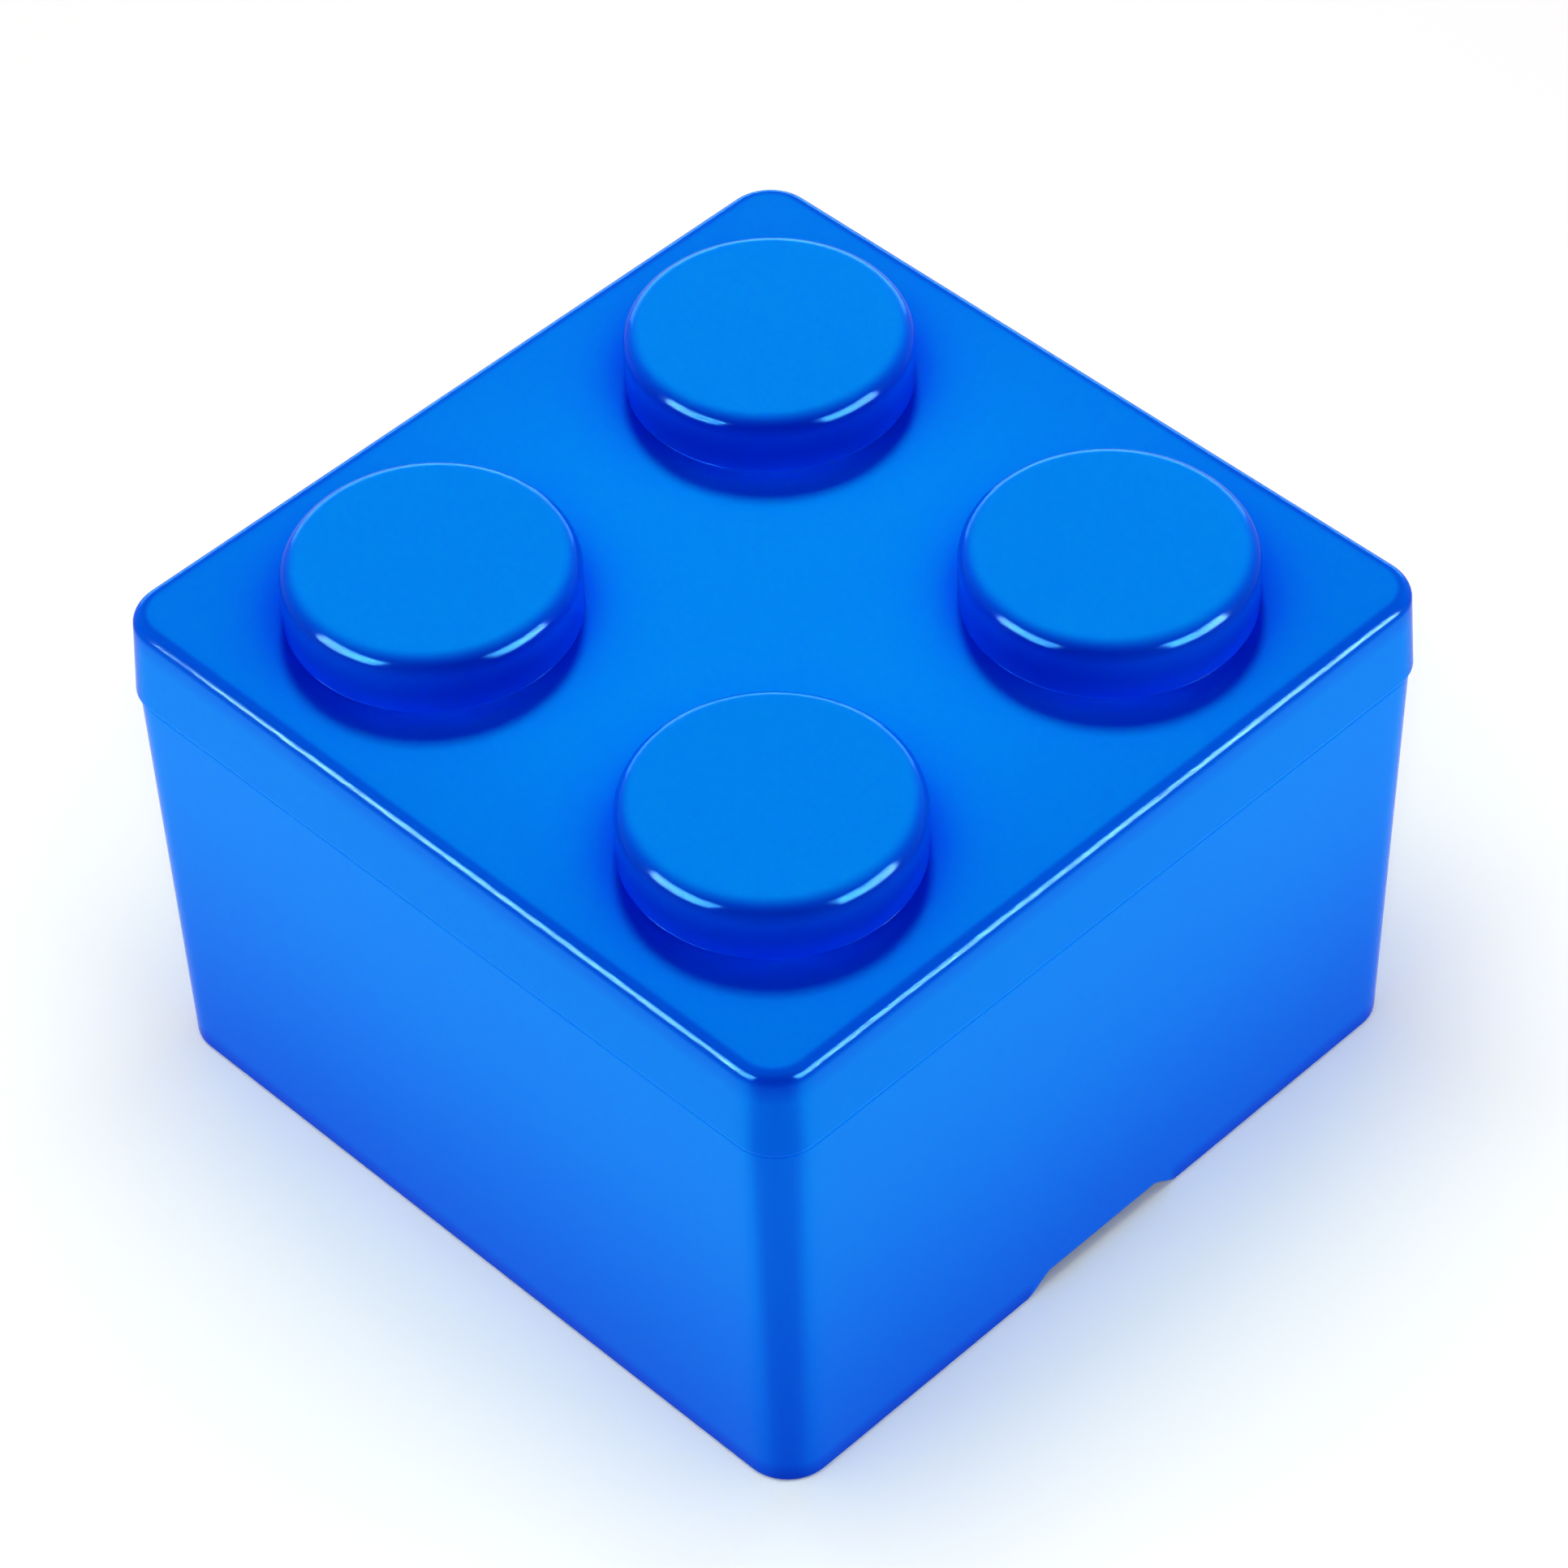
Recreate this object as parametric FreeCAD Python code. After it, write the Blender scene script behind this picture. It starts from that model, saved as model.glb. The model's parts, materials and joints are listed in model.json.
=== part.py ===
import FreeCAD, Part
import math
import os

# A stackable storage box in the shape of a square toy brick with four studs, in two moulded pieces.
# Up is +Z, the notched side faces -Y, and the origin is the middle of the underside, on the ground.
# All sizes are in millimetres.

# Lid: a cap with a top plate, a skirt round its edge and four hollow studs, each one margin in from the sides
lid_width = 100.0
corner_radius = 5.5
lid_edge_round = 1.4
plate_wall = 2.0
skirt_depth = 11.2
skirt_wall = 1.6
skirt_flare = 0.5
skirt_lip_round = 0.4
stud_diameter = 32.4
stud_margin = 8.3
stud_height = 7.0
stud_edge_round = 2.1
stud_wall = 1.8
stud_hollow_round = 0.8

# Box: a deep body with a shoulder for the skirt and a thin rim that stands inside the skirt
seam_height = 54.8
seam_step = 0.3
shoulder_round = 0.6
body_taper = 0.8
rim_wall = 1.3
rim_edge_round = 0.5
cavity_taper = 0.6
cavity_floor_round = 2.0
floor_wall = 2.0

# Underside: a foot wall round a recess that takes the studs of a box below, a ring and ribs
foot_wall = 2.2
foot_edge_round = 0.6
recess_taper = 0.1
ring_wall = 1.6
rib_wall = 1.6
ring_setback = 0.5
notch_width = 24.0
notch_top_width = 17.0
notch_height = 2.0
notch_round = 1.0

# Clearances between pieces that fit together
rim_clearance = 0.2
rim_headroom = 0.3
stack_clearance = 0.25
stack_headroom = 0.5

# How far a cut or a joined block runs past the face it goes through
overrun = 0.5
# How far out of a level plane an edge may lie and still count as in it
level_tolerance = 0.001

# Heights and radii that follow from the sizes above
plate_top = seam_height + skirt_depth
plate_underside = plate_top - plate_wall
stud_top = plate_top + stud_height
stud_radius = stud_diameter / 2
stud_pitch = lid_width - 2 * stud_margin - stud_diameter
rim_top = plate_underside - rim_headroom
skirt_inner_corner = corner_radius - skirt_wall
rim_corner = skirt_inner_corner - rim_clearance
cavity_corner = rim_corner - rim_wall
recess_top = stud_height + stack_headroom
floor_top = recess_top + floor_wall
recess_corner = corner_radius - foot_wall


def skirt_half(z):
    """Half the width over the outside of the skirt, which widens evenly downwards."""
    return lid_width / 2 + skirt_flare * (plate_top - z) / skirt_depth


def skirt_inner_half(z):
    """Half the width inside the skirt, one wall in from its outside."""
    return skirt_half(z) - skirt_wall


def rim_half(z):
    """Half the width over the rim, which leans as the skirt round it does."""
    return skirt_inner_half(z) - rim_clearance


def body_half(z):
    """Half the width over the box below the seam, which narrows evenly down to the ground."""
    return skirt_half(seam_height) - seam_step - body_taper * (seam_height - z) / seam_height


def cavity_half(z):
    """Half the width of the storage space, which narrows evenly down to its floor."""
    return rim_half(rim_top) - rim_wall - cavity_taper * (rim_top - z) / (rim_top - floor_top)


def recess_half(z):
    """Half the width of the recess in the underside, which narrows evenly upwards."""
    return body_half(0) - foot_wall - recess_taper * z / recess_top


def leaning_block(half_at, low, high, corner):
    """Square block between two heights whose sides follow half_at(z), with round upright edges."""
    a = half_at(low)
    b = half_at(high)
    block = Part.makeWedge(-a, low, -a, -b, -b, a, high, a, b, b)
    block.rotate(FreeCAD.Vector(0, 0, 0), FreeCAD.Vector(1, 0, 0), 90)
    uprights = [edge for edge in block.Edges if edge.BoundBox.ZLength > (high - low) / 2]
    return block.makeFillet(corner, uprights)


def level_edges(shape, z):
    """Edges of a shape that lie in the level plane at height z."""
    found = []
    for edge in shape.Edges:
        span = edge.BoundBox
        if max(abs(span.ZMin - z), abs(span.ZMax - z)) < level_tolerance:
            found.append(edge)
    return found


def stud_places():
    """Middles of the four studs, on the corners of a square one pitch wide."""
    reach = stud_pitch / 2
    return [(x, y) for x in (-reach, reach) for y in (-reach, reach)]


def upright_cylinder(radius, x, y, low, high):
    """Round bar about an upright axis, from one height to another."""
    return Part.makeCylinder(radius, high - low, FreeCAD.Vector(x, y, low))


def make_lid():
    """Cap whose skirt hangs outside the rim of the box and stands on its shoulder."""
    lid = leaning_block(skirt_half, seam_height, plate_top, corner_radius)
    lid = lid.makeFillet(lid_edge_round, level_edges(lid, plate_top))
    lid = lid.makeFillet(skirt_lip_round, level_edges(lid, seam_height))
    for x, y in stud_places():
        stud = upright_cylinder(stud_radius, x, y, plate_underside, stud_top)
        stud = stud.makeFillet(stud_edge_round, level_edges(stud, stud_top))
        lid = lid.fuse(stud)
    inside = leaning_block(
        skirt_inner_half, seam_height - overrun, plate_underside, skirt_inner_corner
    )
    for x, y in stud_places():
        hollow_top = stud_top - plate_wall
        hollow = upright_cylinder(stud_radius - stud_wall, x, y, plate_underside - overrun, hollow_top)
        hollow = hollow.makeFillet(stud_hollow_round, level_edges(hollow, hollow_top))
        inside = inside.fuse(hollow)
    return lid.cut(inside).removeSplitter()


def make_locating_ring():
    """Ring under the floor that stands between the four studs of a box below."""
    radius = math.hypot(stud_pitch / 2, stud_pitch / 2) - stud_radius - stack_clearance
    ring = upright_cylinder(radius, 0, 0, ring_setback, recess_top + overrun)
    return ring.cut(upright_cylinder(radius - ring_wall, 0, 0, 0, recess_top))


def make_locating_ribs():
    """Ribs inside the foot wall that stop just short of the studs of a box below."""
    near = stud_pitch / 2 + stud_radius + stack_clearance
    far = recess_half(0) + overrun
    rise = recess_top + overrun - ring_setback
    ribs = []
    for side in range(4):
        for along in (-stud_pitch / 2, stud_pitch / 2):
            corner = FreeCAD.Vector(near, along - rib_wall / 2, ring_setback)
            rib = Part.makeBox(far - near, rib_wall, rise, corner)
            rib.rotate(FreeCAD.Vector(0, 0, 0), FreeCAD.Vector(0, 0, 1), 90 * side)
            ribs.append(rib)
    return ribs


def make_notch(side):
    """Low wedge-ended block to cut from the foot wall: side is -1 at the front and 1 at the back."""
    out = side * (body_half(0) + overrun)
    lean = (notch_width - notch_top_width) / 2 / notch_height
    low_half = notch_width / 2 + lean * overrun
    top_half = notch_top_width / 2
    outline = [
        FreeCAD.Vector(-low_half, out, -overrun),
        FreeCAD.Vector(-top_half, out, notch_height),
        FreeCAD.Vector(top_half, out, notch_height),
        FreeCAD.Vector(low_half, out, -overrun),
    ]
    face = Part.Face(Part.makePolygon(outline + outline[:1]))
    notch = face.extrude(FreeCAD.Vector(0, -side * (foot_wall + 2 * overrun), 0))
    upper = [edge for edge in level_edges(notch, notch_height) if edge.BoundBox.XLength < notch_round]
    return notch.makeFillet(notch_round, upper)


def notch_lips(body):
    """Edges where the sloped ends of the notches meet the underside."""
    lips = []
    for edge in level_edges(body, 0):
        span = edge.BoundBox
        if abs(abs(span.Center.x) - notch_width / 2) < level_tolerance and span.YLength > foot_wall / 2:
            lips.append(edge)
    return lips


def foot_edges(body):
    """Lower edges of the tall side faces, which follow the underside and the notches."""
    found = []
    for face in body.Faces:
        if face.BoundBox.ZLength > seam_height / 2:
            found += [edge for edge in face.Edges if edge.BoundBox.ZMax < seam_height / 2]
    return found


def make_body():
    """Solid block below the seam, with round edges and a notch at the front and the back."""
    body = leaning_block(body_half, 0, seam_height, corner_radius)
    body = body.makeFillet(shoulder_round, level_edges(body, seam_height))
    body = body.cut([make_notch(side) for side in (-1, 1)]).removeSplitter()
    body = body.makeFillet(notch_round, notch_lips(body))
    return body.makeFillet(foot_edge_round, foot_edges(body))


def make_box():
    """Body and rim, hollowed from above, and from below to sit over the studs of a box below."""
    rim = leaning_block(rim_half, seam_height - overrun, rim_top, rim_corner)
    rim = rim.makeFillet(rim_edge_round, level_edges(rim, rim_top))
    box = make_body().fuse(rim)
    cavity = leaning_block(cavity_half, floor_top, rim_top + overrun, cavity_corner)
    cavity = cavity.makeFillet(cavity_floor_round, level_edges(cavity, floor_top))
    box = box.cut(cavity)
    box = box.cut(leaning_block(recess_half, -overrun, recess_top, recess_corner))
    return box.fuse([make_locating_ring()] + make_locating_ribs()).removeSplitter()


def write_piece(name, shape):
    """Save one piece as a STEP file and print its volume and box, which show if it came out whole."""
    solids = shape.Solids
    solid = solids[0]
    solid.exportStep(os.path.join("parts", name + ".step"))
    span = solid.BoundBox
    print(name, "solids", len(solids), "valid", solid.isValid(), "volume", round(solid.Volume))
    print("  x", round(span.XMin, 2), round(span.XMax, 2), "y", round(span.YMin, 2), round(span.YMax, 2))
    print("  z", round(span.ZMin, 2), round(span.ZMax, 2))


os.makedirs("parts", exist_ok=True)
lid = make_lid()
box = make_box()
write_piece("lid", lid)
write_piece("box", box)
print("overlap of the closed lid and the box", round(lid.common(box).Volume, 6))
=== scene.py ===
import json
import math

import bmesh
import bpy
import numpy as np
from mathutils import Matrix, Vector


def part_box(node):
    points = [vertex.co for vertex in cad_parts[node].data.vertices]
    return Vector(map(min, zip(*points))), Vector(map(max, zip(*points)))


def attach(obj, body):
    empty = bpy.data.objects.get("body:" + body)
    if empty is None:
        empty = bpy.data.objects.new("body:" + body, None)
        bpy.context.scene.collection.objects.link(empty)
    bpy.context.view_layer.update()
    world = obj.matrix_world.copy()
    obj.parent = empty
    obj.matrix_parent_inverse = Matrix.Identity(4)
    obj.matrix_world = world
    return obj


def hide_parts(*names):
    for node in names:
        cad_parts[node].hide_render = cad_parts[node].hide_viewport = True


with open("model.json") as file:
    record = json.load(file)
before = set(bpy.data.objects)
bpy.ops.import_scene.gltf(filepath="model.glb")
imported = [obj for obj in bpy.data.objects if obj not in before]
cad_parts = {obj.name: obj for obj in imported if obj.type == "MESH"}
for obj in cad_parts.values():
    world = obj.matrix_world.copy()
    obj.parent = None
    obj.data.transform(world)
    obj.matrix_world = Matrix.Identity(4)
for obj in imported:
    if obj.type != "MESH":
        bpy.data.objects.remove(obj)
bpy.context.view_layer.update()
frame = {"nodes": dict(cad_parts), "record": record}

# A stackable storage box in the shape of a square toy brick with four studs, in two glossy mouldings.
# Up is +Z and the notched side faces -Y. Sizes are in millimetres until a mesh is made.

MM = 0.001

# Sizes read from the frame
lid_low, lid_high = (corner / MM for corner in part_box("lid"))
_, box_high = (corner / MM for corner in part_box("box"))
stud_mount = next(m for m in frame["record"]["mounts"] if m["name"] == "stud_back_right")
stud_reach = stud_mount["pos_m"][0] / MM
stud_radius = stud_mount["dims"]["r_mm"]
seam_height = lid_low.z
stud_top = lid_high.z
rim_top = box_high.z

# Lid sizes
stud_height = 7.0
plate_top = stud_top - stud_height
plate_half = 50.0
corner_radius = 5.5
lid_edge_round = 1.4
plate_wall = 2.0
plate_underside = plate_top - plate_wall
skirt_wall = 1.6
skirt_flare = 0.5
skirt_lip_round = 0.4
skirt_inner_lip_round = 0.2
stud_edge_round = 2.1
stud_root_round = 0.05
stud_wall = 1.8
hollow_edge_round = 0.8
hollow_mouth_round = 0.3
inner_corner_round = 0.4

# Box sizes
seam_step = 0.3
shoulder_round = 0.6
body_taper = 0.8
rim_clearance = 0.2
rim_wall = 1.3
rim_edge_round = 0.5
rim_root_round = 0.15
cavity_taper = 0.6
cavity_floor_round = 2.0
floor_wall = 2.0

# Underside sizes
foot_wall = 2.2
foot_edge_round = 0.6
recess_top = stud_height + 0.5
recess_taper = 0.1
recess_edge_round = 0.2
floor_top = recess_top + floor_wall
ring_wall = 1.6
rib_wall = 1.6
ring_setback = 0.5
ring_edge_round = 0.3
stack_clearance = 0.25
notch_half = 12.0
notch_top_half = 8.5
notch_height = 2.0
notch_fade = 4.0

# How finely the shapes are drawn: steps round an arc, the longest gap between rows and the one beside
# an arc, and how many rows or stations the flats get. The stations before, on and after the slope of a
# notch run a margin past it. Points weld when they agree to so many digits, and folds sharper than the
# angle stay sharp.
arc_steps = 12
longest_run = 2.5
support_gap = 0.12
side_stations = 29
plate_rows = 15
plate_gather = 1.6
last_plate_share = 0.99
floor_rows = 12
ceiling_rows = 10
notch_slope_margin = 1.0
notch_stations = (5, 17, 15)
weld_digits = 4
sharp_angle = 40


def skirt_half(z):
    """Half the width over the skirt, which grows evenly from the plate's at the top to the seam."""
    return plate_half + skirt_flare * (plate_top - z) / (plate_top - seam_height)


def body_half(z):
    """Half the width of the box, which shrinks evenly from one step inside the skirt to the ground."""
    return skirt_half(seam_height) - seam_step - body_taper * (seam_height - z) / seam_height


def rim_half(z):
    """Half the width over the rim: the skirt's, less the skirt's wall and the clearance."""
    return skirt_half(z) - skirt_wall - rim_clearance


def cavity_half(z):
    """Half the width of the storage space, which shrinks evenly down to its floor."""
    return rim_half(rim_top) - rim_wall - cavity_taper * (rim_top - z) / (rim_top - floor_top)


def recess_half(z):
    """Half the width of the recess under the floor, which shrinks evenly upwards."""
    return body_half(0) - foot_wall - recess_taper * z / recess_top


def soft_profile(corners):
    """Section through a wall as rows of (straight half q, half width h, height z).

    Each corner is (q, h, z, radius). The section runs straight from corner to corner, and a corner
    with a radius is replaced by the arc that touches both runs: its middle lies on the bisector at
    radius / sin(half angle). Runs get evenly spaced rows and one row close to each arc, which keeps
    the shading of the flats flat.
    """
    rows = []
    last = np.array(corners[0][:3], float)
    rows.append(last[None])
    for here, after in zip(corners[1:], corners[2:] + (None,)):
        point = np.array(here[:3], float)
        if after is None or here[3] == 0:
            rows.append(straight_rows(last, point))
            last = point
            continue
        into = last[1:] - point[1:]
        away = np.array(after[1:3], float) - point[1:]
        into /= np.hypot(*into)
        away /= np.hypot(*away)
        half_angle = math.acos(into @ away) / 2
        cut = here[3] / math.tan(half_angle)
        start = np.array((point[0], *(point[1:] + into * cut)))
        middle = point[1:] + (into + away) / np.hypot(*(into + away)) * here[3] / math.sin(half_angle)
        first, final = start[1:] - middle, point[1:] + away * cut - middle
        turn = math.atan2(first[0] * final[1] - first[1] * final[0], first @ final)
        swept = np.linspace(0, turn, arc_steps + 1)
        arc = np.column_stack((
            np.full(swept.size, point[0]),
            middle[0] + first[0] * np.cos(swept) - first[1] * np.sin(swept),
            middle[1] + first[0] * np.sin(swept) + first[1] * np.cos(swept),
        ))
        rows += [straight_rows(last, start), arc[1:]]
        last = arc[-1]
    return np.concatenate(rows)


def straight_rows(start, end):
    """Rows along a straight run, evenly spaced, with one row close to each end. The start is left out."""
    length = np.hypot(*(end - start)[1:])
    if length < 3 * support_gap:
        return end[None]
    count = max(2, math.ceil(length / longest_run) + 1)
    share = np.linspace(0, 1, count)
    share = np.unique(np.concatenate((share, (support_gap / length, 1 - support_gap / length))))[1:]
    return start + share[:, None] * (end - start)


def square_stations(fractions):
    """Stations once round a square with round corners, as pairs of plane vectors (T, C).

    A station of the outline with straight half q and corner radius r lies at q T + r C: on a side T
    is (1, t) and C is (1, 0), and round a corner T is (1, 1) and C turns from (1, 0) to (0, 1). One
    quarter is turned by 0, 90, 180 and 270 degrees. The fractions t run from 0 to 1.
    """
    turn = np.linspace(0, math.pi / 2, arc_steps + 1)[1:-1]
    ones = np.ones_like
    square = np.concatenate((
        np.column_stack((ones(fractions), fractions)),
        np.column_stack((ones(turn), ones(turn))),
        np.column_stack((fractions[::-1], ones(fractions)))[:-1],
    ))
    circle = np.concatenate((
        np.column_stack((ones(fractions), 0 * fractions)),
        np.column_stack((np.cos(turn), np.sin(turn))),
        np.column_stack((0 * fractions, ones(fractions)))[:-1],
    ))
    return quarter_turns(square), quarter_turns(circle)


def quarter_turns(points):
    """The points, then the points turned by 90, 180 and 270 degrees about the upright axis."""
    turned = [points]
    for _ in range(3):
        before = turned[-1]
        turned.append(np.concatenate((-before[..., 1:2], before[..., :1], before[..., 2:]), axis=-1))
    return np.concatenate(turned, axis=0)


def square_wall(rows, stations):
    """Wall that follows a section round a square with round corners.

    Row (q, h, z) gives q T + (h - q) C at height z, where T and C are the stations' plane vectors.
    """
    square, circle = stations
    q, h, z = (rows[:, None, None, k] for k in range(3))
    plane = q * square + (h - q) * circle
    return np.concatenate((plane, np.broadcast_to(z, plane.shape[:2] + (1,))), axis=2)


def round_wall(rows, spokes, middle=(0, 0)):
    """Wall that follows a section round an upright axis.

    Row (., radius, z) gives middle + radius times spoke, at height z.
    """
    plane = np.array(middle) + rows[:, None, 1:2] * spokes
    return np.concatenate((plane, np.broadcast_to(rows[:, None, 2:3], plane.shape[:2] + (1,))), axis=2)


def ruled(inner, outer, shares):
    """Straight lines between two outlines with the same stations: inner + share (outer - inner)."""
    return inner + shares[:, None, None] * (outer - inner)


def unit(vectors):
    """The vectors at length 1."""
    return vectors / np.linalg.norm(vectors, axis=-1, keepdims=True)


def plate_quarter(edge, section):
    """A quarter of a plate with a stud or its hollow, as two grids.

    The outline of the quarter is the stretch of edge from the x axis to the y axis, then the two
    axes. Spokes run from the stud's axis to each point of the outline. The first grid is ruled from
    the section's first circle to the outline, closest together by the stud, and the second carries
    the section along the spokes.
    """
    z = edge[0, 2]
    back = np.linspace(1, 0, edge.shape[0] // 2)[1:]
    along_y = np.column_stack((0 * back, back * edge[-1, 1], np.full(back.size, z)))
    along_x = np.column_stack((back[::-1] * edge[0, 0], 0 * back, np.full(back.size, z)))
    outline = np.concatenate((edge, along_y, along_x[1:], edge[:1]))
    middle = np.array((stud_reach, stud_reach))
    spokes = unit(outline[:, :2] - middle)
    wall = round_wall(section, spokes, middle)
    shares = np.linspace(0, 1, plate_rows) ** plate_gather
    shares = np.concatenate((shares[:-1], (last_plate_share, 1)))
    return [ruled(wall[0], outline, shares), wall]


def plate(edge_row, section):
    """Four quarters of a plate, each with its stud or hollow, inside an outline of whole quarters."""
    quarter = edge_row.shape[0] // 4
    closed = np.concatenate((edge_row, edge_row[:1]))
    grids = []
    for grid in plate_quarter(closed[:quarter + 1], section):
        grids += list(quarter_turns(grid[None]))
    return grids


def welded(grids, round_trip):
    """Points and faces of grids joined where they meet.

    Each grid gives one four-sided face per cell, and a grid named in round_trip also closes on
    itself. Points closer than a ten-thousandth of a millimetre become one, and a cell with two
    corners on one point becomes a triangle.
    """
    points, faces, start = [], [], 0
    for grid, closes in zip(grids, round_trip):
        rows, stations = grid.shape[:2]
        index = start + np.arange(rows * stations).reshape(rows, stations)
        if closes:
            index = np.concatenate((index, index[:, :1]), axis=1)
        faces.append(np.stack((
            index[:-1, :-1], index[:-1, 1:], index[1:, 1:], index[1:, :-1],
        ), axis=-1).reshape(-1, 4))
        points.append(grid.reshape(-1, 3))
        start += rows * stations
    points = np.concatenate(points)
    rounded = np.round(points, weld_digits)
    _, first, same = np.unique(rounded, axis=0, return_index=True, return_inverse=True)
    faces = same.reshape(-1)[np.concatenate(faces)]
    points = points[first]
    doubled = faces == np.roll(faces, -1, axis=1)
    quads = faces[doubled.sum(axis=1) == 0]
    short = faces[doubled.sum(axis=1) == 1]
    from_corner = doubled[doubled.sum(axis=1) == 1].argmax(axis=1)
    triangles = np.take_along_axis(short, (from_corner[:, None] + (1, 2, 3)) % 4, axis=1)
    return points, quads, triangles


def add_piece(name, grids, round_trip, material):
    """One closed, smooth-shaded mesh from grids in millimetres, with faces outwards and its blue depths
    with painted shade.
    """
    points, quads, triangles = welded(grids, round_trip)
    mesh = bpy.data.meshes.new(name)
    mesh.from_pydata((points * MM).tolist(), [], quads.tolist() + triangles.tolist())
    work = bmesh.new()
    work.from_mesh(mesh)
    bmesh.ops.recalc_face_normals(work, faces=work.faces)
    work.to_mesh(mesh)
    work.free()
    depths = mesh.attributes.new("blue_and_painted_shade", "FLOAT", "POINT")
    depths.data.foreach_set("value", blue_and_painted_shade(points).astype(np.float32))
    mesh.shade_smooth()
    mesh.set_sharp_from_angle(angle=math.radians(sharp_angle))
    mesh.materials.append(material)
    piece = bpy.data.objects.new(name, mesh)
    bpy.context.scene.collection.objects.link(piece)
    return piece


# How deep the blue looks, from 0 for the palest to 1 for the darkest, by where the surface is. The plate,
# the stud tops and the sides have a base depth of the plastic's own blue, and the rest is painted shade
plate_depth = 0.08
# Painted shade: the plate a little darker towards its corners
plate_edge_shade = 0.14
stud_top_depth = 0.1
# Painted shade round each stud, deepest on the stud sides and at their feet
stud_halo_shade = 0.46
stud_side_shade = 0.38
stud_foot_shade = 0.22
side_top_depth = 0.08
# Painted shade: the sides darker towards the foot and along its edge, in the upright corners and along the
# lid's round edges
side_foot_shade = 0.27
foot_edge_shade = 0.3
corner_shade = 0.22
lid_edge_shade = 0.22
# Painted shade: the inside one darker blue
inside_shade = 0.35
# Where those depths and painted shades set in and fade out, in millimetres, and how much of a corner's
# painted shade is lost at the foot
halo_reach = 2.6
stud_foot_line = (-0.1, 0.4)
stud_side_line = 0.2
outward_start = 15.0
outward_end = 1.3 * plate_half
edge_line = (-0.5, 0.3)
inside_margin = 0.5
underside_margin = 0.2
corner_loss = 0.6


def smooth_step(low, high, value):
    """Rises from 0 at low to 1 at high as 3 t^2 - 2 t^3."""
    t = np.clip((value - low) / (high - low), 0, 1)
    return t * t * (3 - 2 * t)


def blue_and_painted_shade(points):
    """How deep the blue looks, as a share: the plastic's own blue with painted shade added.

    The plate and the stud tops have a base depth of the plastic's own blue. Painted shade makes the plate
    a little deeper towards its corners, falls off as e to the power of minus distance over reach round
    each stud, and is greatest on the stud sides. Painted shade also grows down the sides of the box, along
    the foot and in the upright corners, and is a little more along the round edges of the lid. The inside
    has one depth, a painted shade.
    """
    x, y, z = np.abs(points[:, 0]), np.abs(points[:, 1]), points[:, 2]
    from_axis = np.hypot(x - stud_reach, y - stud_reach)
    middle = plate_half - corner_radius
    beside = middle + np.hypot(np.maximum(x - middle, 0), np.maximum(y - middle, 0))
    across = np.minimum(x, y)
    on_top = smooth_step(plate_top - lid_edge_round, plate_top, z)
    # Painted shade: a halo round each stud, and more on the stud sides towards their feet
    halo = stud_halo_shade * np.exp(-np.maximum(from_axis - stud_radius, 0) / halo_reach)
    above = smooth_step(plate_top + stud_foot_line[0], plate_top + stud_foot_line[1], z)
    wall = smooth_step(stud_radius - stud_edge_round, stud_radius - stud_side_line, from_axis)
    foot = smooth_step(stud_top - stud_edge_round, plate_top, z)
    stud = wall * (stud_side_shade + stud_foot_shade * foot)
    # Painted shade on the plate grows outwards towards its corners
    outward = smooth_step(outward_start, outward_end, np.hypot(x, y))
    top = plate_depth + (1 - above) * (halo + plate_edge_shade * outward) + above * (stud_top_depth + stud)
    # Painted shade: the sides darker down to the foot, along the foot's edge and in the upright corners
    down = smooth_step(seam_height, 0, z)
    side = side_top_depth + side_foot_shade * down
    side += foot_edge_shade * smooth_step(2 * foot_edge_round, 0.5 * foot_edge_round, z)
    corner = smooth_step(middle + 0.2 * corner_radius, middle + 0.5 * corner_radius, across)
    side += corner_shade * corner * (1 - corner_loss * down)
    # Painted shade along the lid's round edges
    round_start = plate_half - lid_edge_round
    edge = lid_edge_shade * smooth_step(round_start + edge_line[0], round_start + edge_line[1], beside)
    edge *= smooth_step(plate_top - 2 * lid_edge_round, plate_top - 0.5 * lid_edge_round, z)
    depth = on_top * top + (1 - on_top) * side + edge
    # Painted shade: one darker blue on the inner surfaces below the lid's plate
    inside = np.maximum(x, y) < cavity_half(floor_top) + inside_margin
    return np.where(inside & (z < plate_underside + underside_margin), inside_shade, depth)


def linear(code):
    """Linear colour of an sRGB hex value such as 0078EC."""
    parts = [int(code[i:i + 2], 16) / 255 for i in (0, 2, 4)]
    return [p / 12.92 if p <= 0.04045 else ((p + 0.055) / 1.055) ** 2.4 for p in parts] + [1.0]


def add_node(tree, kind, settings=None, **inputs):
    """Adds a node, sets its properties, and sets or links its inputs, which are named in plain words."""
    node = tree.nodes.new("ShaderNode" + kind)
    for key, value in (settings or {}).items():
        setattr(node, key, value)
    for key, value in inputs.items():
        socket = node.inputs[int(key[1:])] if key[0] == "_" else node.inputs[key.replace("_", " ")]
        if isinstance(value, bpy.types.NodeSocket):
            tree.links.new(value, socket)
        else:
            socket.default_value = value
    return node


def new_material(name):
    """Empty node material and its tree."""
    material = bpy.data.materials.new(name)
    material.use_nodes = True
    material.node_tree.nodes.clear()
    return material, material.node_tree


# The plastic's own blue at the least depth, then darker blues for painted shade up to the deepest
blue_and_painted_shade_colours = ((0.0, "0094FF"), (0.25, "0078F0"), (0.45, "0056E0"), (0.7, "0030BE"), (1.0, "001CA0"))
# Sizes on the moulding in millimetres: where the dye has drifted in the melt, the faint waves of the
# polished steel and their height, patches of finer and coarser polish, and how far light strays inside
dye_drift_size = 30
wave_size = 9
wave_height = 0.02
polish_size = 16
light_stray = 2


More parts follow.
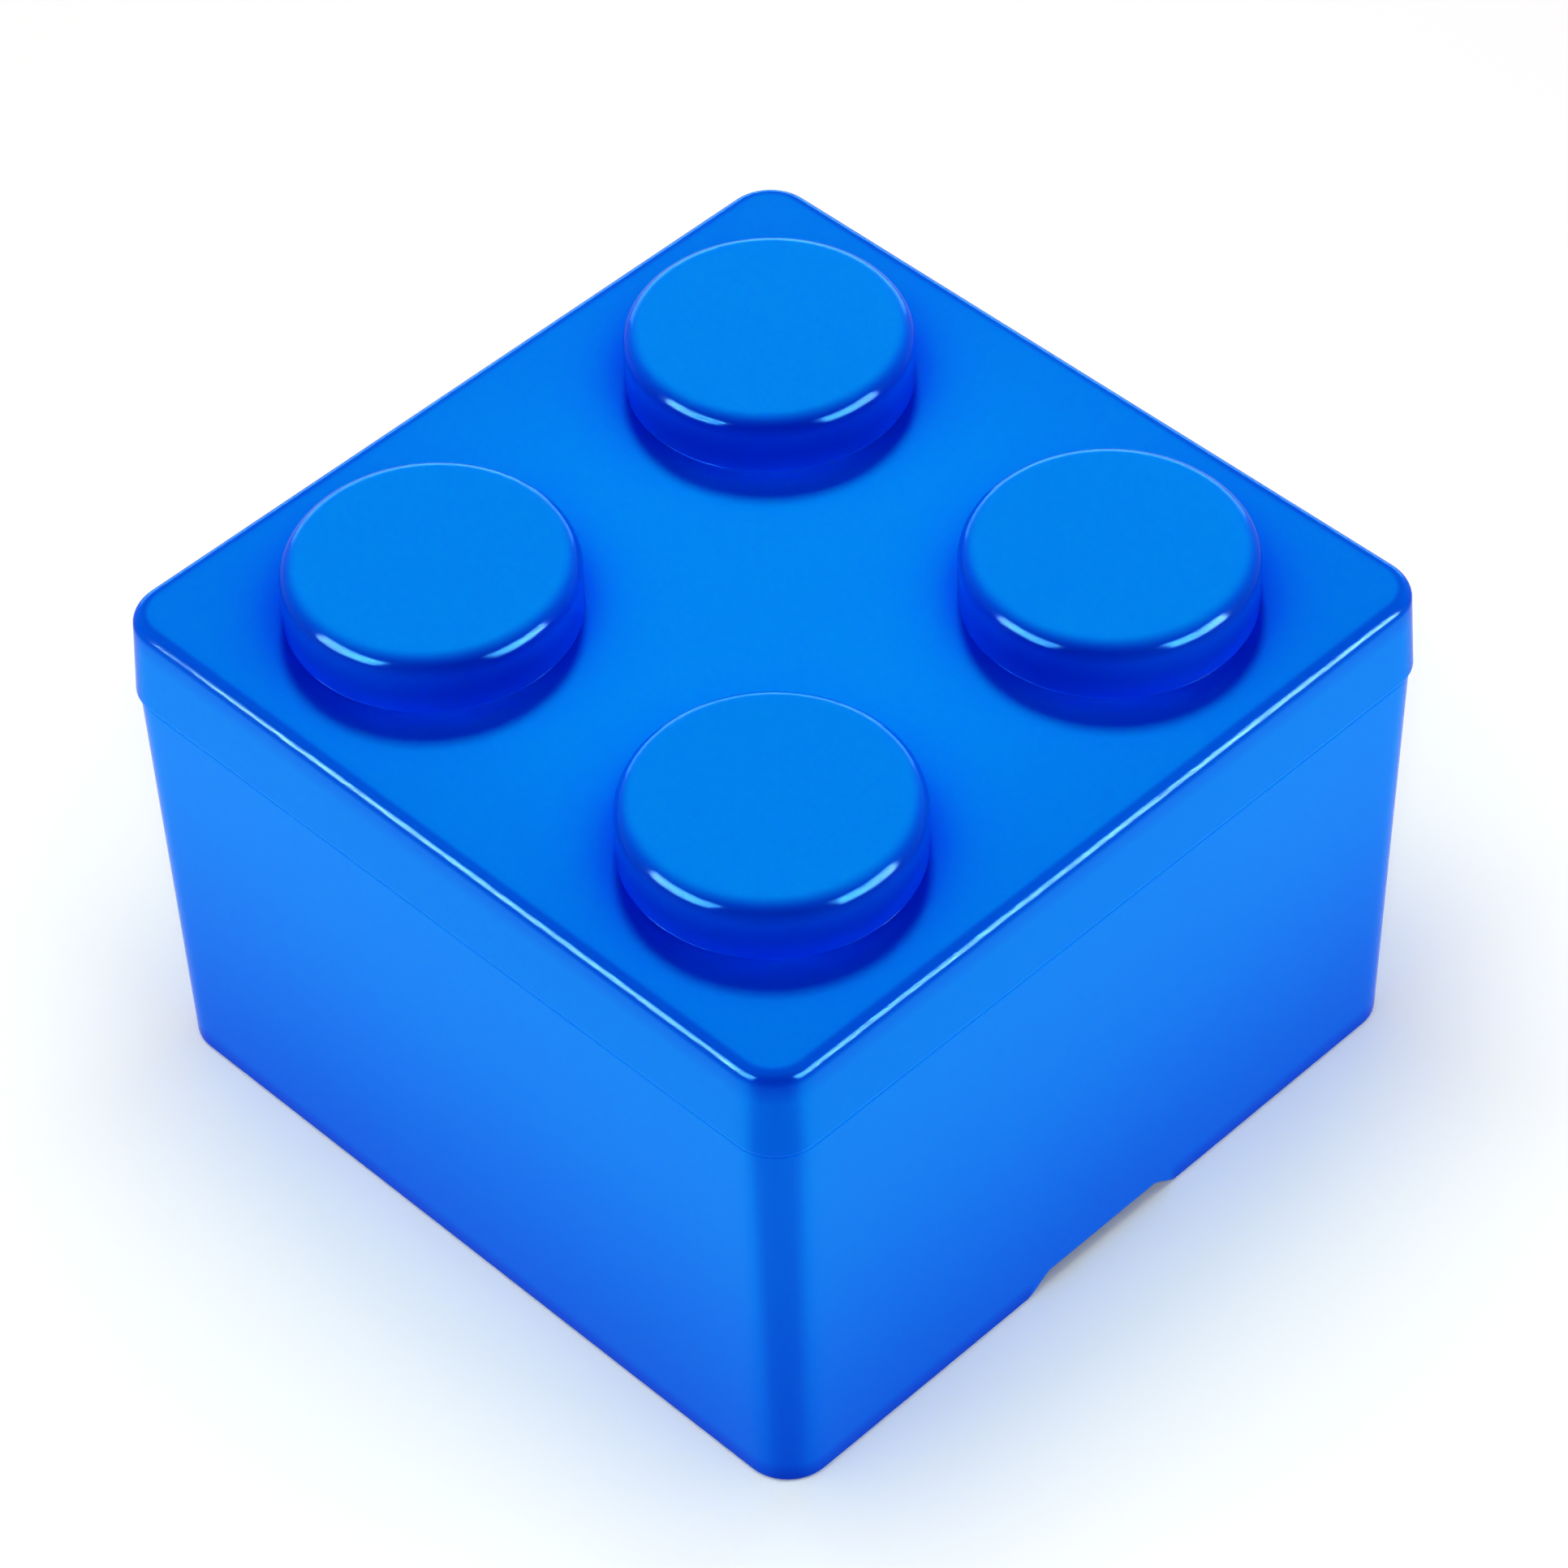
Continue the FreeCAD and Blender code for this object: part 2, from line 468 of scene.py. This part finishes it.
def moulded_styrene():
    """High-gloss moulded styrene plastic, dyed blue right through, from a polished steel mould.

    It gives the eye a smooth surface with narrow highlights along the rounds, and a colour that deepens
    from azure to ultramarine where shade is painted into it, read per point from the mesh.
    """
    material, tree = new_material("moulded_styrene_blue")
    place = add_node(tree, "TexCoord").outputs["Object"]
    # The plastic's blue with painted shade, per point of the mesh
    depth = add_node(tree, "Attribute", {"attribute_name": "blue_and_painted_shade"}).outputs["Fac"]
    drift_scale = 1 / (dye_drift_size * MM)
    flow = add_node(tree, "TexNoise", Vector=place, Scale=drift_scale, Detail=2.0, Roughness=0.5)
    drift = add_node(tree, "MapRange", Value=flow.outputs["Fac"], To_Min=-0.015, To_Max=0.015)
    mixed = add_node(tree, "Math", _0=depth, _1=drift.outputs["Result"])
    ramp = add_node(tree, "ValToRGB", Fac=mixed.outputs[0])
    stops = ramp.color_ramp.elements
    for position, _ in blue_and_painted_shade_colours[2:]:
        stops.new(position)
    for stop, (position, code) in zip(stops, blue_and_painted_shade_colours):
        stop.position = position
        stop.color = linear(code)
    peel = add_node(tree, "TexNoise", Vector=place, Scale=1 / (wave_size * MM), Detail=1.0)
    bump = add_node(tree, "Bump", Height=peel.outputs["Fac"], Strength=0.15, Distance=wave_height * MM)
    wear = add_node(tree, "TexNoise", Vector=place, Scale=1 / (polish_size * MM), Detail=4.0)
    rough = add_node(tree, "MapRange", Value=wear.outputs["Fac"], To_Min=0.08, To_Max=0.14)
    shader = add_node(
        tree, "BsdfPrincipled", Base_Color=ramp.outputs["Color"], Roughness=rough.outputs["Result"],
        Normal=bump.outputs["Normal"], IOR=1.45, Specular_IOR_Level=0.02, Specular_Tint=linear("50B4FF"),
        Subsurface_Weight=0.25, Subsurface_Radius=(0.1, 0.15, 1.0), Subsurface_Scale=light_stray * MM,
    )
    add_node(tree, "OutputMaterial", Surface=shader.outputs[0])
    return material


def seen_directly(tree):
    """1 for rays from the camera, a mirror or a window, and 0 for rays that carry light to the object."""
    path = add_node(tree, "LightPath").outputs
    seen = path["Is Camera Ray"]
    for name in ("Is Glossy Ray", "Is Transmission Ray"):
        seen = add_node(tree, "Math", {"operation": "MAXIMUM"}, _0=seen, _1=path[name]).outputs[0]
    return seen


# Distances from the object's middle in metres between which the paper's painted shadow and the paper
# itself fade
painted_floor_shadow = (0.06, 0.11)
paper_end = (0.18, 0.5)


def studio_paper():
    """Matt white studio paper on the floor, which runs out into the plain white of the backdrop.

    It gives the eye a pale ground that holds a soft shadow and a painted shadow, greyer close to the
    object, and has no edge or horizon. Further out, the direct view of the paper blends into plain white.
    """
    material, tree = new_material("matt_white_studio_paper")
    place = add_node(tree, "TexCoord").outputs["Object"]
    far = add_node(tree, "VectorMath", {"operation": "LENGTH"}, _0=place)
    far = far.outputs["Value"]
    ramp = add_node(tree, "MapRange", Value=far, From_Min=painted_floor_shadow[0], From_Max=painted_floor_shadow[1])
    blend = add_node(tree, "Mix", {"data_type": "RGBA"}, _0=ramp.outputs["Result"])
    # Painted shadow: the paper greyer close to the object
    blend.inputs[6].default_value = linear("E2E8E4")
    blend.inputs[7].default_value = linear("FFFFFF")
    shader = add_node(
        tree, "BsdfPrincipled", Base_Color=blend.outputs[2], Roughness=0.9, Specular_IOR_Level=0.2
    )
    glow = add_node(tree, "Emission", Color=(1, 1, 1, 1), Strength=1.0)
    out = add_node(tree, "MapRange", Value=far, From_Min=paper_end[0], From_Max=paper_end[1])
    out = out.outputs["Result"]
    share = add_node(tree, "Math", {"operation": "MULTIPLY"}, _0=out, _1=seen_directly(tree))
    surface = add_node(tree, "MixShader", _0=share.outputs[0], _1=shader.outputs[0], _2=glow.outputs[0])
    add_node(tree, "OutputMaterial", Surface=surface.outputs[0])
    return material


def build_lid(material):
    """Lid: plate and studs above, skirt and lip round the edge, plate and hollows below."""
    stations = square_stations(np.linspace(0, 1, side_stations))
    q_top = skirt_half(plate_top) - corner_radius
    q_seam = skirt_half(seam_height) - corner_radius
    wall = soft_profile((
        (q_top, skirt_half(plate_top) - 1.2 * lid_edge_round, plate_top, 0),
        (q_top, skirt_half(plate_top), plate_top, lid_edge_round),
        (q_seam, skirt_half(seam_height), seam_height, skirt_lip_round),
        (q_seam, skirt_half(seam_height) - skirt_wall, seam_height, skirt_inner_lip_round),
        (q_top, skirt_half(plate_underside) - skirt_wall, plate_underside, inner_corner_round),
        (q_top, skirt_half(plate_underside) - skirt_wall - 2 * inner_corner_round, plate_underside, 0),
    ))
    skirt = square_wall(wall, stations)
    stud = soft_profile((
        (0, stud_radius + 2 * stud_root_round, plate_top, 0),
        (0, stud_radius, plate_top, stud_root_round),
        (0, stud_radius, stud_top, stud_edge_round),
        (0, 0, stud_top, 0),
    ))
    hollow_radius = stud_radius - stud_wall
    hollow = soft_profile((
        (0, hollow_radius + 2 * hollow_mouth_round, plate_underside, 0),
        (0, hollow_radius, plate_underside, hollow_mouth_round),
        (0, hollow_radius, stud_top - plate_wall, hollow_edge_round),
        (0, 0, stud_top - plate_wall, 0),
    ))
    grids = plate(skirt[0], stud) + plate(skirt[-1], hollow)
    closes = [False] * len(grids)
    return add_piece("lid_moulding", grids + [skirt], closes + [True], material)


def notch_lift(grid):
    """Raises the foot at the notches, front and back, and fades out up the wall.

    The lift is the notch's height times t, where t goes from 0 at the notch's lower end to 1 at its
    upper end, half of it evenly and half as a smooth step, and times the share of the way down from
    the height where the notch ends.
    """
    x, y, z = np.abs(grid[..., 0]), np.abs(grid[..., 1]), grid[..., 2]
    t = np.clip((notch_half - x) / (notch_half - notch_top_half), 0, 1)
    rise = notch_height * (0.5 * t + 0.5 * smooth_step(0, 1, t))
    low = np.clip((notch_fade - z) / (notch_fade - foot_edge_round), 0, 1)
    side = y > recess_half(0) - 1
    lifted = grid.copy()
    lifted[..., 2] = z + rise * low * side
    return lifted


def rib_block(middle_along, side):
    """Closed rib with a round lower edge, sunk a little into the wall and the ceiling it stands on."""
    near = stud_reach + stud_radius + stack_clearance
    far = recess_half(0) + foot_wall / 2
    radius = ring_edge_round
    half = np.array(((far - near) / 2 - radius, rib_wall / 2 - radius))
    square, circle = square_stations(np.array((0.0, 0.5, 1.0)))
    turn = np.linspace(0, math.pi / 2, arc_steps // 2 + 1)
    lean = np.concatenate(((0,), radius * np.sin(turn), (radius,)))
    z = np.concatenate((
        (ring_setback,), ring_setback + radius * (1 - np.cos(turn)), (recess_top + floor_wall / 2,)
    ))
    scale = np.concatenate(((0,), np.ones(turn.size + 1)))
    plane = scale[:, None, None] * half * square + lean[:, None, None] * circle
    rows = np.concatenate((plane, np.broadcast_to(z[:, None, None], plane.shape[:2] + (1,))), axis=2)
    cap = rows[-1] * (0, 0, 1)
    rows = np.concatenate((rows, cap[None]))
    rows += ((near + far) / 2, middle_along, 0)
    return quarter_turns(rows[None])[side]


def build_box(material):
    """Box: storage space, rim, shoulder, sides, foot with its notches, recess, ring and ribs."""
    q_body = body_half(0) - corner_radius
    slope_start = notch_top_half - notch_slope_margin
    slope_end = notch_half + notch_slope_margin
    near_notch = np.concatenate((
        np.linspace(0, slope_start, notch_stations[0])[:-1],
        np.linspace(slope_start, slope_end, notch_stations[1])[:-1],
        np.linspace(slope_end, q_body, notch_stations[2]),
    ))
    stations = square_stations(near_notch / q_body)
    q_seam = skirt_half(seam_height) - corner_radius
    q_shoulder = body_half(seam_height) - corner_radius
    q_rim = skirt_half(rim_top) - corner_radius
    cavity_corner = corner_radius - skirt_wall - rim_clearance - rim_wall
    q_floor = cavity_half(floor_top) - cavity_corner
    recess_corner = corner_radius - foot_wall
    q_recess = recess_half(recess_top) - recess_corner
    wall = soft_profile((
        (q_floor, cavity_half(floor_top) - 1.2 * cavity_floor_round, floor_top, 0),
        (q_floor, cavity_half(floor_top), floor_top, cavity_floor_round),
        (q_rim, cavity_half(rim_top), rim_top, 0.4 * rim_edge_round),
        (q_rim, rim_half(rim_top), rim_top, rim_edge_round),
        (q_seam, rim_half(seam_height), seam_height, rim_root_round),
        (q_shoulder, body_half(seam_height), seam_height, shoulder_round),
        (q_body, body_half(0), 0, foot_edge_round),
        (q_body, recess_half(0), 0, recess_edge_round),
        (q_recess, recess_half(recess_top), recess_top, inner_corner_round),
        (q_recess, recess_half(recess_top) - 2 * inner_corner_round, recess_top, 0),
    ))
    body = notch_lift(square_wall(wall, stations))
    floor = ruled(0 * body[0] + (0, 0, floor_top), body[0], np.linspace(0, 1, floor_rows))
    ring_radius = math.hypot(stud_reach, stud_reach) - stud_radius - stack_clearance
    ring = soft_profile((
        (0, ring_radius + 2 * inner_corner_round, recess_top, 0),
        (0, ring_radius, recess_top, inner_corner_round),
        (0, ring_radius, ring_setback, ring_edge_round),
        (0, ring_radius - ring_wall, ring_setback, ring_edge_round),
        (0, ring_radius - ring_wall, recess_top, inner_corner_round),
        (0, 0, recess_top, 0),
    ))
    ring_wall_grid = round_wall(ring, unit(body[-1][:, :2]))
    ceiling = ruled(ring_wall_grid[0], body[-1], np.linspace(0, 1, ceiling_rows))
    ribs = [rib_block(along, side) for side in range(4) for along in (-stud_reach, stud_reach)]
    grids = [body, floor, ring_wall_grid, ceiling] + ribs
    return add_piece("box_moulding", grids, [True] * len(grids), material)


# The photograph's camera: angles in degrees, the height that it circles, its distance and sideways and
# upward shifts in millimetres, and the lens on a sensor 36 mm wide
camera_azimuth = -43.94
camera_elevation = 45.78
camera_roll = -1.90
camera_aim_height = 24.8
camera_distance = 655.36
camera_shift = (0.70, 8.85)
camera_lens = 134.45
camera_sensor = 36


def add_camera():
    """Camera at the photograph's angle, from the outline of the lid, the box and the studs."""
    azimuth, elevation, roll = (math.radians(a) for a in (camera_azimuth, camera_elevation, camera_roll))
    back = Vector((
        math.sin(azimuth) * math.cos(elevation),
        -math.cos(azimuth) * math.cos(elevation),
        math.sin(elevation),
    ))
    level = Vector((math.cos(azimuth), math.sin(azimuth), 0))
    rise = back.cross(level)
    right = math.cos(roll) * level + math.sin(roll) * rise
    up = math.cos(roll) * rise - math.sin(roll) * level
    data = bpy.data.cameras.new("camera")
    data.lens = camera_lens
    data.sensor_width = camera_sensor
    camera = bpy.data.objects.new("camera", data)
    aim = Vector((0, 0, camera_aim_height * MM))
    shift = level * camera_shift[0] * MM + rise * camera_shift[1] * MM
    place = aim + back * camera_distance * MM + shift
    turn = Matrix((right, up, back)).transposed().to_4x4()
    camera.matrix_world = Matrix.Translation(place) @ turn
    bpy.context.scene.collection.objects.link(camera)
    bpy.context.scene.camera = camera


# The height on the object that the lamps face, in millimetres, and half the floor's width in metres
lamp_aim_height = 40
floor_reach = 12


def add_softbox(name, from_camera, elevation, distance, size, power, colour, lights, seen_by="both"):
    """Rectangular lamp that faces the object from an azimuth measured from the camera's, in degrees.

    Its distance and size are in metres and its power in watts. lights is the collection that it lights,
    and seen_by says whether it reaches matt surfaces, glossy reflections or both.
    """
    light = bpy.data.lights.new(name, "AREA")
    light.shape = "RECTANGLE"
    light.size, light.size_y = size
    light.energy = power
    light.color = linear(colour)[:3]
    lamp = bpy.data.objects.new(name, light)
    turn = math.radians(camera_azimuth + from_camera)
    lift = math.radians(elevation)
    away = Vector((math.sin(turn) * math.cos(lift), -math.cos(turn) * math.cos(lift), math.sin(lift)))
    place = Matrix.Translation(Vector((0, 0, lamp_aim_height * MM)) + away * distance)
    lamp.matrix_world = place @ away.to_track_quat("Z", "Y").to_matrix().to_4x4()
    lamp.visible_glossy = seen_by != "matt"
    lamp.visible_diffuse = seen_by != "gloss"
    lamp.light_linking.receiver_collection = lights
    bpy.context.scene.collection.objects.link(lamp)
    return lamp


def add_studio(paper, pieces):
    """Paper floor, the lamps and a dim blue room that is white to the eye.

    A wide lamp above and a small one by the camera light the floor. The object has a key from behind
    that throws the studs' shadows towards the camera and a low fill at each side. A strip behind it and
    a softbox at each side only show as highlights on its rounds.
    """
    mesh = bpy.data.meshes.new("studio_floor")
    corners = np.array(((-1, -1, 0), (1, -1, 0), (1, 1, 0), (-1, 1, 0))) * floor_reach
    mesh.from_pydata(corners.tolist(), [], [(0, 1, 2, 3)])
    mesh.materials.append(paper)
    floor = bpy.data.objects.new("studio_floor", mesh)
    bpy.context.scene.collection.objects.link(floor)
    on_floor = bpy.data.collections.new("lit_with_the_floor")
    on_floor.objects.link(floor)
    on_object = bpy.data.collections.new("lit_with_the_object")
    for piece in pieces:
        on_object.objects.link(piece)
    add_softbox(
        "floor_lamp", from_camera=-90, elevation=87.3, distance=1.3, size=(0.85, 0.85), power=16.2,
        colour="FFF9C8", lights=on_floor,
    )
    add_softbox(
        "floor_front", from_camera=0, elevation=47, distance=1.2, size=(0.2, 0.2), power=4.7,
        colour="FFF9C8", lights=on_floor, seen_by="matt",
    )
    add_softbox(
        "key", from_camera=180, elevation=50.5, distance=2.4, size=(0.4, 0.4), power=69.0,
        colour="FFFFC2", lights=on_object, seen_by="matt",
    )
    add_softbox(
        "back_strip", from_camera=180, elevation=10, distance=1.2, size=(1.6, 0.5), power=80.0,
        colour="5AB8FF", lights=on_object, seen_by="gloss",
    )
    for side in (-1, 1):
        add_softbox(
            "side_fill", from_camera=75 * side, elevation=0, distance=0.6, size=(0.4, 0.05), power=1.3,
            colour="FFFFE6", lights=on_object, seen_by="matt",
        )
        add_softbox(
            "side_highlight", from_camera=62 * side, elevation=26, distance=0.8, size=(0.61, 0.46),
            power=540, colour="D4FFFF", lights=on_object, seen_by="gloss",
        )
    world = bpy.data.worlds.new("studio_room")
    world.use_nodes = True
    tree = world.node_tree
    tree.nodes.clear()
    shade = add_node(tree, "Mix", {"data_type": "RGBA"}, _0=seen_directly(tree))
    shade.inputs[6].default_value = linear("4554B0")
    shade.inputs[7].default_value = linear("FFFFFF")
    room = add_node(tree, "Background", Color=shade.outputs[2], Strength=1.0)
    add_node(tree, "OutputWorld", Surface=room.outputs[0])
    bpy.context.scene.world = world


add_camera()
plastic = moulded_styrene()
for node in frame["nodes"].values():
    node.data.materials.clear()
    node.data.materials.append(plastic)

lid = build_lid(plastic)
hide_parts("lid")
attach(lid, "lid")

box = build_box(plastic)
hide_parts("box")
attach(box, "box")

add_studio(studio_paper(), (lid, box))

bpy.context.scene.view_settings.view_transform = "Standard"
